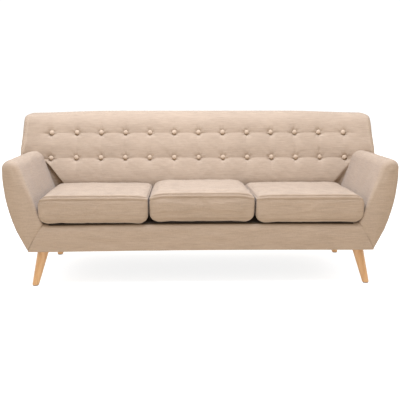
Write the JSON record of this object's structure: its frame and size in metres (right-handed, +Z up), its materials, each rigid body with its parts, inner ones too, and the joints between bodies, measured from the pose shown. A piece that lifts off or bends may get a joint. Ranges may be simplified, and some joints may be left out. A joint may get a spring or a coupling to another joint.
{
  "type": "three-seat sofa",
  "caption": "Upholstered sofa with a button-tufted curved back, outward-leaning padded arms, loose box seat cushions and splayed tapered wooden legs.",
  "frame": {"origin": "on the floor, under the middle of the sofa's bounding box", "axes": "+X along the sofa's length, to the viewer's right as seen from the front; -Y towards the front; +Z up"},
  "size_m": [1.9, 0.7899, 0.81],
  "materials": {
    "upholstery": "matte",
    "leg_wood": "satin",
    "frame_wood": "matte",
    "steel": "satin",
    "foam": "matte",
    "zip_cloth": "matte",
    "zip_metal": "satin",
    "dust_cloth": "matte",
    "deck_cloth": "matte",
    "felt": "matte",
    "jute": "matte"
  },
  "bodies": {
    "sofa_frame": {"arm_facing_left": "upholstery", "arm_facing_right": "upholstery", "arm_front_former_left": "frame_wood", "arm_front_former_right": "frame_wood", "arm_padding_left": "upholstery", "arm_padding_right": "upholstery", "arm_rear_former_left": "frame_wood", "arm_rear_former_right": "frame_wood", "arm_tack_rail_left": "frame_wood", "arm_tack_rail_right": "frame_wood", "arm_top_rail_left": "frame_wood", "arm_top_rail_right": "frame_wood", "back_buttons_lower": "upholstery", "back_buttons_upper": "upholstery", "back_outside_panel": "upholstery", "back_padding": "upholstery", "back_post_left": "frame_wood", "back_post_right": "frame_wood", "back_tack_strip": "frame_wood", "back_top_rail": "frame_wood", "back_upright_left": "frame_wood", "back_upright_right": "frame_wood", "back_webbing": "jute", "button_twines": "jute", "dust_cover": "dust_cloth", "foot_glides": "felt", "front_border": "upholstery", "front_rail": "frame_wood", "hanger_bolts": "steel", "leg_boards": "frame_wood", "leg_front_left": "leg_wood", "leg_front_right": "leg_wood", "leg_plates": "steel", "leg_rear_left": "leg_wood", "leg_rear_right": "leg_wood", "plate_screws": "steel", "rear_rail": "frame_wood", "rear_side_panel_left": "upholstery", "rear_side_panel_right": "upholstery", "seat_brace_left": "frame_wood", "seat_brace_right": "frame_wood", "seat_deck": "deck_cloth", "seat_springs": "steel", "side_rail_left": "frame_wood", "side_rail_right": "frame_wood", "spring_clips": "steel", "twine_toggles": "frame_wood"},
    "seat_cushion_left": {"cushion_cover_left": "upholstery", "cushion_foam_left": "foam", "zip_tape_left": "zip_cloth"},
    "zip_slider_left_body": {"zip_slider_left": "zip_metal"},
    "seat_cushion_centre": {"cushion_cover_centre": "upholstery", "cushion_foam_centre": "foam", "zip_tape_centre": "zip_cloth"},
    "zip_slider_centre_body": {"zip_slider_centre": "zip_metal"},
    "seat_cushion_right": {"cushion_cover_right": "upholstery", "cushion_foam_right": "foam", "zip_tape_right": "zip_cloth"},
    "zip_slider_right_body": {"zip_slider_right": "zip_metal"}
  },
  "joints": [
    {"name": "cushion_left_lift", "type": "slide", "parent": "sofa_frame", "child": "seat_cushion_left", "axis": [0, 0, 1], "range_m": [0, 0.55]},
    {"name": "zip_left_run", "type": "slide", "parent": "seat_cushion_left", "child": "zip_slider_left_body", "axis": [1, 0, 0], "range_m": [0, 0.34]},
    {"name": "cushion_centre_lift", "type": "slide", "parent": "sofa_frame", "child": "seat_cushion_centre", "axis": [0, 0, 1], "range_m": [0, 0.55]},
    {"name": "zip_centre_run", "type": "slide", "parent": "seat_cushion_centre", "child": "zip_slider_centre_body", "axis": [1, 0, 0], "range_m": [0, 0.34]},
    {"name": "cushion_right_lift", "type": "slide", "parent": "sofa_frame", "child": "seat_cushion_right", "axis": [0, 0, 1], "range_m": [0, 0.55]},
    {"name": "zip_right_run", "type": "slide", "parent": "seat_cushion_right", "child": "zip_slider_right_body", "axis": [1, 0, 0], "range_m": [0, 0.34]}
  ]
}
